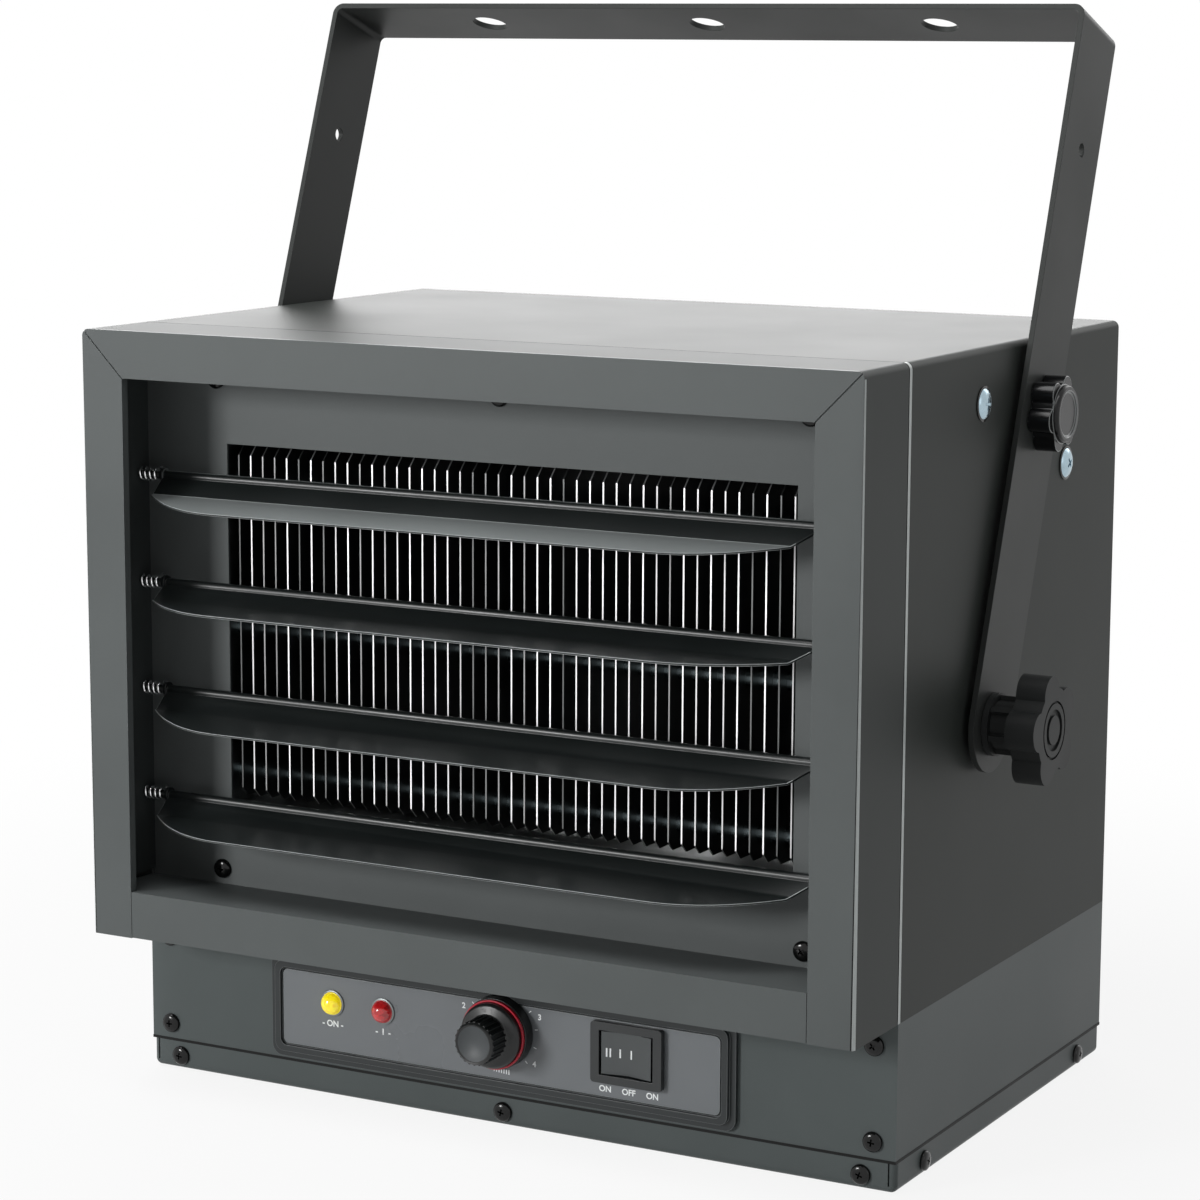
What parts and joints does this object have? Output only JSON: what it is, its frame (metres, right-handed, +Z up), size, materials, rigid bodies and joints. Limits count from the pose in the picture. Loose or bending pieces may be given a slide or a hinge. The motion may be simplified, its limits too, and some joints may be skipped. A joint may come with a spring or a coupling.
{
  "type": "ceiling mounted fan heater",
  "caption": "Boxy sheet-steel electric fan heater with tilting louvers, a finned element, a control panel below and a U bracket with clamp knobs.",
  "frame": {"origin": "centre of the flat base under the control box", "axes": "+Z up, +X to the right as seen from the front, and the warm air leaves towards -Y"},
  "size_m": [0.424, 0.2727, 0.4672],
  "materials": {
    "case_paint": "satin dark grey powder coat",
    "louver_paint": "satin near-black powder coat",
    "dark_paint": "matte black paint",
    "bracket_paint": "satin dark grey powder coat",
    "inner_steel": "galvanised sheet",
    "guard_black": "black coated wire",
    "fin_metal": "plated steel fins",
    "rod_metal": "dark heater sheath",
    "motor_paint": "black motor paint",
    "fan_paint": "plain aluminium",
    "zinc": "bright zinc plating",
    "screw_black": "gloss black",
    "label_grey": "grey satin film",
    "amber_lens": "clear amber lens",
    "red_lens": "clear red lens",
    "red_plastic": "red ring",
    "black_plastic": "satin black",
    "knob_black": "fine matte black",
    "lock_black": "gloss black",
    "cream_plastic": "cream phenolic"
  },
  "bodies": {
    "heater_body": {"case_wrap": "case_paint", "case_floor": "inner_steel", "back_panel": "case_paint", "inlet_ring": "case_paint", "fan_guard": "guard_black", "bezel_frame": "case_paint", "bezel_sill": "case_paint", "baffle_plate": "case_paint", "louver_carrier_left": "dark_paint", "louver_carrier_right": "dark_paint", "louver_springs": "zinc", "element_frame": "inner_steel", "fin_pack": "fin_metal", "heating_rods": "rod_metal", "fan_motor": "motor_paint", "motor_mount": "inner_steel", "motor_bolts": "zinc", "limit_switch": "cream_plastic", "control_box": "case_paint", "entry_plate": "inner_steel", "bottom_cover": "case_paint", "control_panel": "case_paint", "panel_label": "label_grey", "amber_lamp": "amber_lens", "red_lamp": "red_lens", "thermostat_body": "black_plastic", "thermostat_collar": "black_plastic", "switch_body": "black_plastic", "terminal_block": "cream_plastic", "power_relay": "black_plastic", "pivot_spacers": "black_plastic", "pivot_nuts": "zinc", "index_screws": "zinc", "index_nuts": "zinc", "baffle_screws": "screw_black", "box_screws": "screw_black", "cover_screws": "screw_black", "back_screws": "screw_black", "guard_screws": "screw_black"},
    "bracket": {"bracket": "bracket_paint"},
    "fan": {"fan_shaft": "zinc", "fan_rotor": "fan_paint"},
    "thermostat_knob": {"thermostat_knob": "black_plastic", "thermostat_ring": "red_plastic"},
    "switch_rocker": {"switch_rocker": "black_plastic"},
    "pivot_knob_left": {"pivot_knob_left": "knob_black"},
    "pivot_knob_right": {"pivot_knob_right": "knob_black"},
    "lock_knob_left": {"lock_knob_left": "lock_black"},
    "lock_knob_right": {"lock_knob_right": "lock_black"},
    "louver_1": {"louver_1": "louver_paint"},
    "louver_2": {"louver_2": "louver_paint"},
    "louver_3": {"louver_3": "louver_paint"},
    "louver_4": {"louver_4": "louver_paint"}
  },
  "joints": [
    {"name": "bracket_tilt", "type": "hinge", "parent": "heater_body", "child": "bracket", "pos_m": [0, -0.035, 0.1775], "axis": [1, 0, 0], "range_deg": [-22, 22]},
    {"name": "louver_1_tilt", "type": "hinge", "parent": "heater_body", "child": "louver_1", "pos_m": [0, -0.122, 0.2666], "axis": [1, 0, 0], "range_deg": [-49, 56]},
    {"name": "louver_2_tilt", "type": "hinge", "parent": "heater_body", "child": "louver_2", "pos_m": [0, -0.122, 0.2199], "axis": [1, 0, 0], "range_deg": [-42, 63]},
    {"name": "louver_3_tilt", "type": "hinge", "parent": "heater_body", "child": "louver_3", "pos_m": [0, -0.122, 0.1732], "axis": [1, 0, 0], "range_deg": [-48.5, 56.5]},
    {"name": "louver_4_tilt", "type": "hinge", "parent": "heater_body", "child": "louver_4", "pos_m": [0, -0.122, 0.1265], "axis": [1, 0, 0], "range_deg": [-47.5, 57.5]},
    {"name": "pivot_knob_left_turn", "type": "hinge", "parent": "heater_body", "child": "pivot_knob_left", "pos_m": [-0.1952, -0.035, 0.1775], "axis": [-1, 0, 0], "range_deg": [0, 360]},
    {"name": "pivot_knob_right_turn", "type": "hinge", "parent": "heater_body", "child": "pivot_knob_right", "pos_m": [0.1952, -0.035, 0.1775], "axis": [1, 0, 0], "range_deg": [0, 360]},
    {"name": "lock_knob_left_turn", "type": "hinge", "parent": "bracket", "child": "lock_knob_left", "pos_m": [-0.1902, 0.0098, 0.3006], "axis": [-1, 0, 0], "range_deg": [0, 360]},
    {"name": "lock_knob_right_turn", "type": "hinge", "parent": "bracket", "child": "lock_knob_right", "pos_m": [0.1902, 0.0098, 0.3006], "axis": [1, 0, 0], "range_deg": [0, 360]},
    {"name": "thermostat_turn", "type": "hinge", "parent": "heater_body", "child": "thermostat_knob", "pos_m": [0.001, -0.127, 0.0424], "axis": [0, 1, 0], "range_deg": [-150, 150]},
    {"name": "rocker_tip", "type": "hinge", "parent": "heater_body", "child": "switch_rocker", "pos_m": [0.0615, -0.113, 0.0409], "axis": [0, 0, 1], "range_deg": [-9, 9]},
    {"name": "fan_spin", "type": "hinge", "parent": "heater_body", "child": "fan", "pos_m": [0, 0.088, 0.2005], "axis": [0, 1, 0], "continuous": true}
  ]
}
